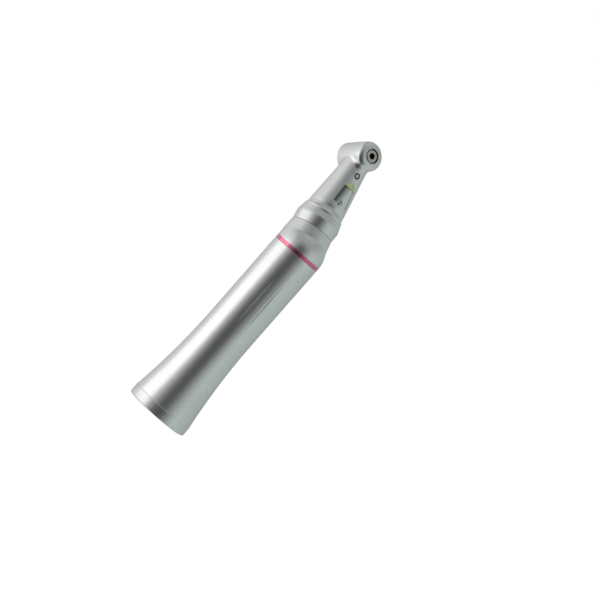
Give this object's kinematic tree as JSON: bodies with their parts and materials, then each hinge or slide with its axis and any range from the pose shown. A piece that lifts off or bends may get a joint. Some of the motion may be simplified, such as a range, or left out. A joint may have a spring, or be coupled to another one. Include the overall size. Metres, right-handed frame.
{
  "type": "contra-angle dental handpiece",
  "caption": "Slim angled dental handpiece that speeds up a small motor and drives a friction-grip bur, with a red speed ring, a light window and a spray port by the head.",
  "frame": {"origin": "centre of the rear rim's flat face, on the grip's axis, where the handpiece meets its motor", "axes": "+Z along the grip's axis towards the head; the neck leans towards -X and the bur leaves the head towards +X; the XZ plane is the plane of symmetry of the casings"},
  "size_m": [0.0277, 0.0206, 0.1041],
  "materials": {
    "satin_shell": "satin titanium-coloured coat over metal",
    "red_ring": "glossy tinted clear lacquer over metal",
    "steel": "turned stainless steel",
    "brass": "machined",
    "gear_steel": "ground gear steel",
    "spring_steel": "drawn wire",
    "seal_rubber": "smooth",
    "light_glass": "polished glass rod end",
    "race_steel": "polished bearing steel",
    "cage": "moulded bearing cage resin"
  },
  "bodies": {
    "casing": {"rear_end_ring": "satin_shell", "rear_sleeve": "satin_shell", "ratio_ring": "red_ring", "knee_sleeve": "satin_shell", "neck_collar": "satin_shell", "head_neck_casing": "satin_shell", "head_back_cap": "satin_shell", "coupling_socket": "steel", "socket_seal": "seal_rubber", "drive_core": "brass", "rear_circlip": "steel", "front_circlip": "steel", "light_rod": "light_glass", "light_window": "light_glass", "water_tube": "steel", "air_tube": "steel", "spray_nozzle": "steel", "neck_screw": "steel", "bearing_bulkhead": "brass", "preload_washer": "steel", "button_spring": "spring_steel", "input_rear_outer_race": "race_steel", "input_front_outer_race": "race_steel", "neck_rear_outer_race": "race_steel", "neck_front_outer_race": "race_steel", "head_rear_outer_race": "race_steel", "head_front_outer_race": "race_steel"},
    "input_train": {"input_shaft": "steel", "bell_gear": "gear_steel", "dog_clip": "steel", "dog_spring": "spring_steel", "input_rear_inner_race": "race_steel", "input_front_inner_race": "race_steel"},
    "drive_dog": {"drive_dog": "steel"},
    "neck_train": {"neck_shaft": "steel", "crown_gear": "gear_steel", "neck_rear_inner_race": "race_steel", "neck_front_inner_race": "race_steel"},
    "spindle_train": {"spindle": "steel", "collet": "steel", "head_rear_inner_race": "race_steel", "head_front_inner_race": "race_steel"},
    "push_button": {"push_button": "satin_shell"},
    "input_rear_cage": {"input_rear_cage": "cage", "input_rear_balls": "race_steel"},
    "input_front_cage": {"input_front_cage": "cage", "input_front_balls": "race_steel"},
    "neck_rear_cage": {"neck_rear_cage": "cage", "neck_rear_balls": "race_steel"},
    "neck_front_cage": {"neck_front_cage": "cage", "neck_front_balls": "race_steel"},
    "head_rear_cage": {"head_rear_cage": "cage", "head_rear_balls": "race_steel"},
    "head_front_cage": {"head_front_cage": "cage", "head_front_balls": "race_steel"}
  },
  "joints": [
    {"name": "input_spin", "type": "hinge", "parent": "casing", "child": "input_train", "pos_m": [0, 0, 0.0317], "axis": [0, 0, 1], "continuous": true},
    {"name": "dog_slide", "type": "slide", "parent": "input_train", "child": "drive_dog", "axis": [0, 0, 1], "range_m": [0, 0.0015], "stiffness_N_per_m": 400, "springref_m": -0.001, "deforming": ["dog_spring"]},
    {"name": "neck_spin", "type": "hinge", "parent": "casing", "child": "neck_train", "pos_m": [-0.00285, 0, 0.07365], "axis": [-0.2419, 0, 0.9703], "continuous": true},
    {"name": "spindle_spin", "type": "hinge", "parent": "casing", "child": "spindle_train", "pos_m": [-0.00902, 0, 0.09839], "axis": [0.9135, 0, 0.4067], "continuous": true},
    {"name": "button_press", "type": "slide", "parent": "casing", "child": "push_button", "axis": [0.9135, 0, 0.4067], "range_m": [0, 0.00045], "stiffness_N_per_m": 900, "springref_m": -0.0006, "deforming": ["button_spring"]},
    {"name": "input_rear_cage_spin", "type": "hinge", "parent": "casing", "child": "input_rear_cage", "pos_m": [0, 0, 0.03175], "axis": [0, 0, 1], "continuous": true},
    {"name": "input_front_cage_spin", "type": "hinge", "parent": "casing", "child": "input_front_cage", "pos_m": [0, 0, 0.06225], "axis": [0, 0, 1], "continuous": true},
    {"name": "neck_rear_cage_spin", "type": "hinge", "parent": "casing", "child": "neck_rear_cage", "pos_m": [-0.00285, 0, 0.07365], "axis": [-0.2419, 0, 0.9703], "continuous": true},
    {"name": "neck_front_cage_spin", "type": "hinge", "parent": "casing", "child": "neck_front_cage", "pos_m": [-0.00779, 0, 0.09344], "axis": [-0.2419, 0, 0.9703], "continuous": true},
    {"name": "head_rear_cage_spin", "type": "hinge", "parent": "casing", "child": "head_rear_cage", "pos_m": [-0.01291, 0, 0.09666], "axis": [0.9135, 0, 0.4067], "continuous": true},
    {"name": "head_front_cage_spin", "type": "hinge", "parent": "casing", "child": "head_front_cage", "pos_m": [-0.00564, 0, 0.0999], "axis": [0.9135, 0, 0.4067], "continuous": true}
  ],
  "couplings": [
    {"joint": "neck_spin", "follows": "input_spin", "ratio": 3.3333},
    {"joint": "spindle_spin", "follows": "input_spin", "ratio": -5},
    {"joint": "input_rear_cage_spin", "follows": "input_spin", "ratio": 0.37692},
    {"joint": "input_front_cage_spin", "follows": "input_spin", "ratio": 0.37692},
    {"joint": "neck_rear_cage_spin", "follows": "input_spin", "ratio": 1.2667},
    {"joint": "neck_front_cage_spin", "follows": "input_spin", "ratio": 1.2667},
    {"joint": "head_rear_cage_spin", "follows": "input_spin", "ratio": -2.0066},
    {"joint": "head_front_cage_spin", "follows": "input_spin", "ratio": -2.0066}
  ]
}
